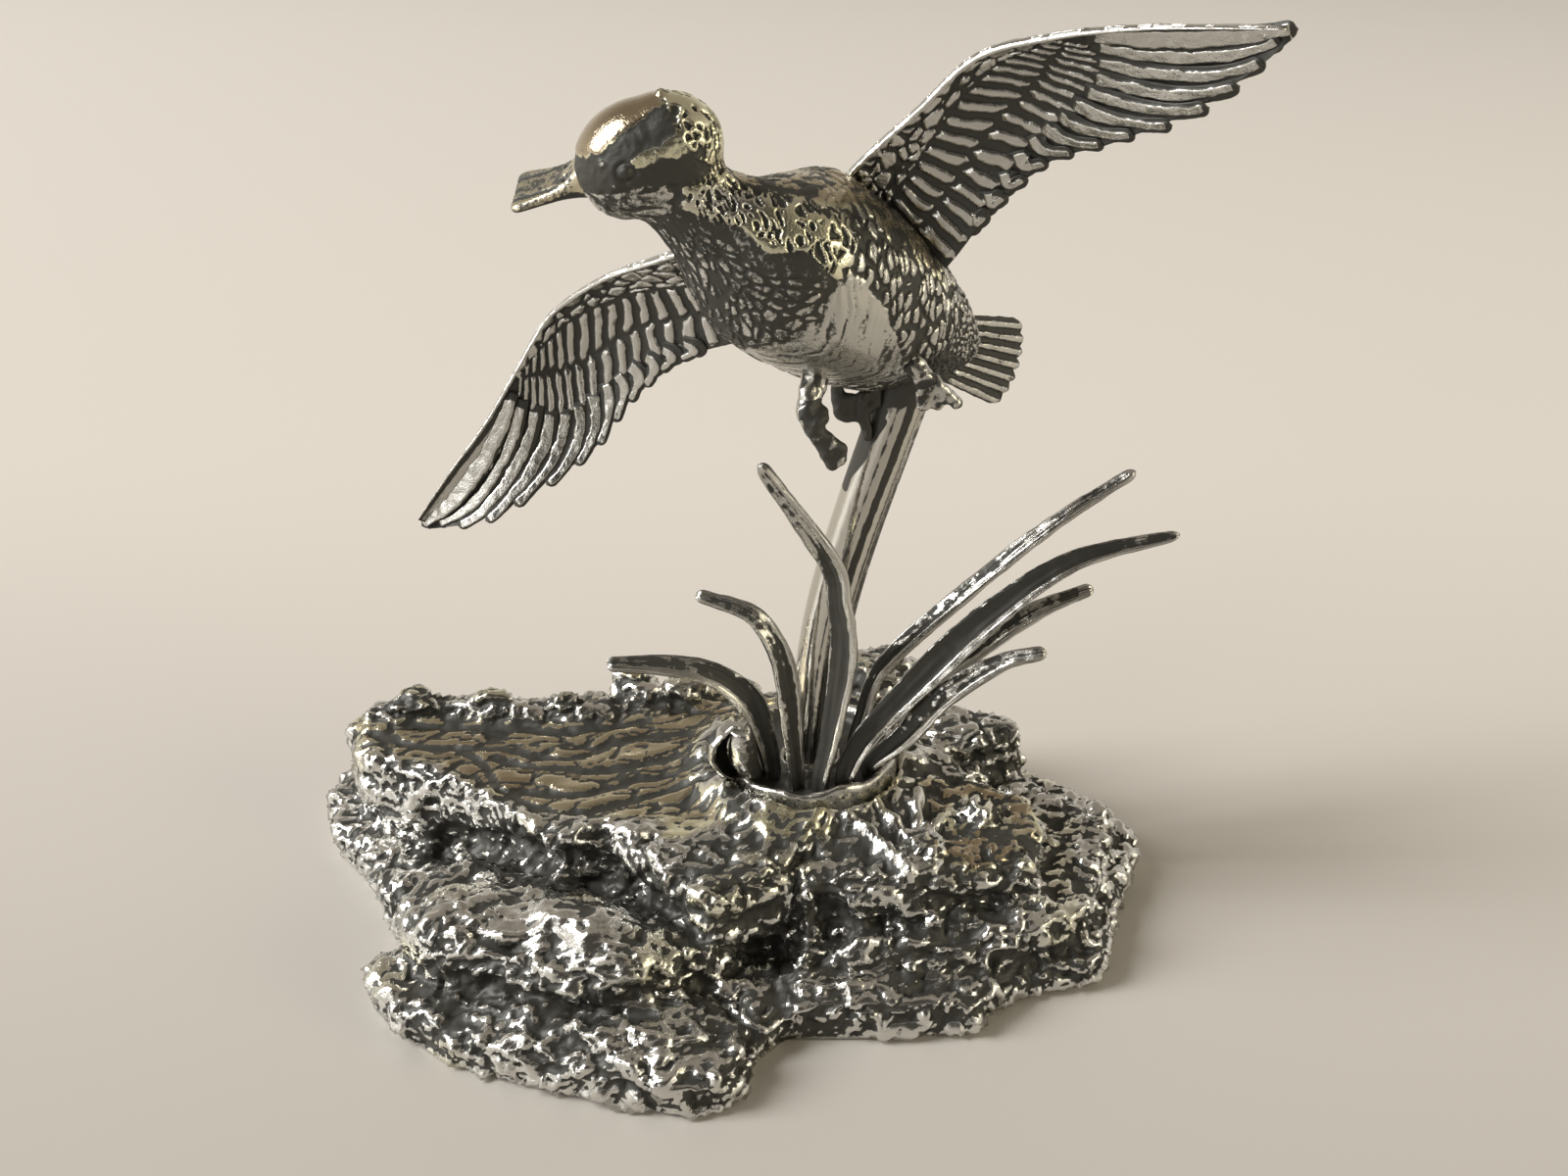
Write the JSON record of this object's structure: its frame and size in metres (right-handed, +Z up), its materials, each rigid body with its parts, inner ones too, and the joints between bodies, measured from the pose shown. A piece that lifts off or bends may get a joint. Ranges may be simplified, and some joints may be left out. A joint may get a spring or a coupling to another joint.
{
  "type": "pewter flying duck figurine",
  "caption": "Cast pewter duck in flight, wings spread, held on a bright leaning rod above a rocky base with a clump of reed blades. It stands on its flat underside.",
  "frame": {"origin": "on the base's underside, under the middle of its length and depth", "axes": "+X to the viewer's right along the base's length, -Y to the front where the picture is taken from, +Z up. The duck flies towards -X and -Y, climbing and banked."},
  "size_m": [0.082, 0.0535, 0.0799],
  "materials": {
    "cast_pewter": "antiqued pewter: polished on the raised detail, near-black in the recesses",
    "dark_pewter": "antiqued pewter left darker, rubbed bright only on the ridges",
    "bright_rod": "polished, with fine marks along its length"
  },
  "bodies": {
    "root": {"rock_base": "dark_pewter", "support_rod": "bright_rod", "reed_collar": "dark_pewter", "reed_far_left": "cast_pewter", "reed_mid_left": "cast_pewter", "reed_tall_centre": "cast_pewter", "reed_tall_right": "cast_pewter", "reed_broad_right": "cast_pewter", "reed_behind_right": "cast_pewter", "reed_low_right": "cast_pewter", "curled_leaf": "cast_pewter", "duck_body": "cast_pewter", "left_wing": "cast_pewter", "right_wing": "cast_pewter", "left_leg": "cast_pewter", "right_leg": "cast_pewter"}
  },
  "joints": []
}
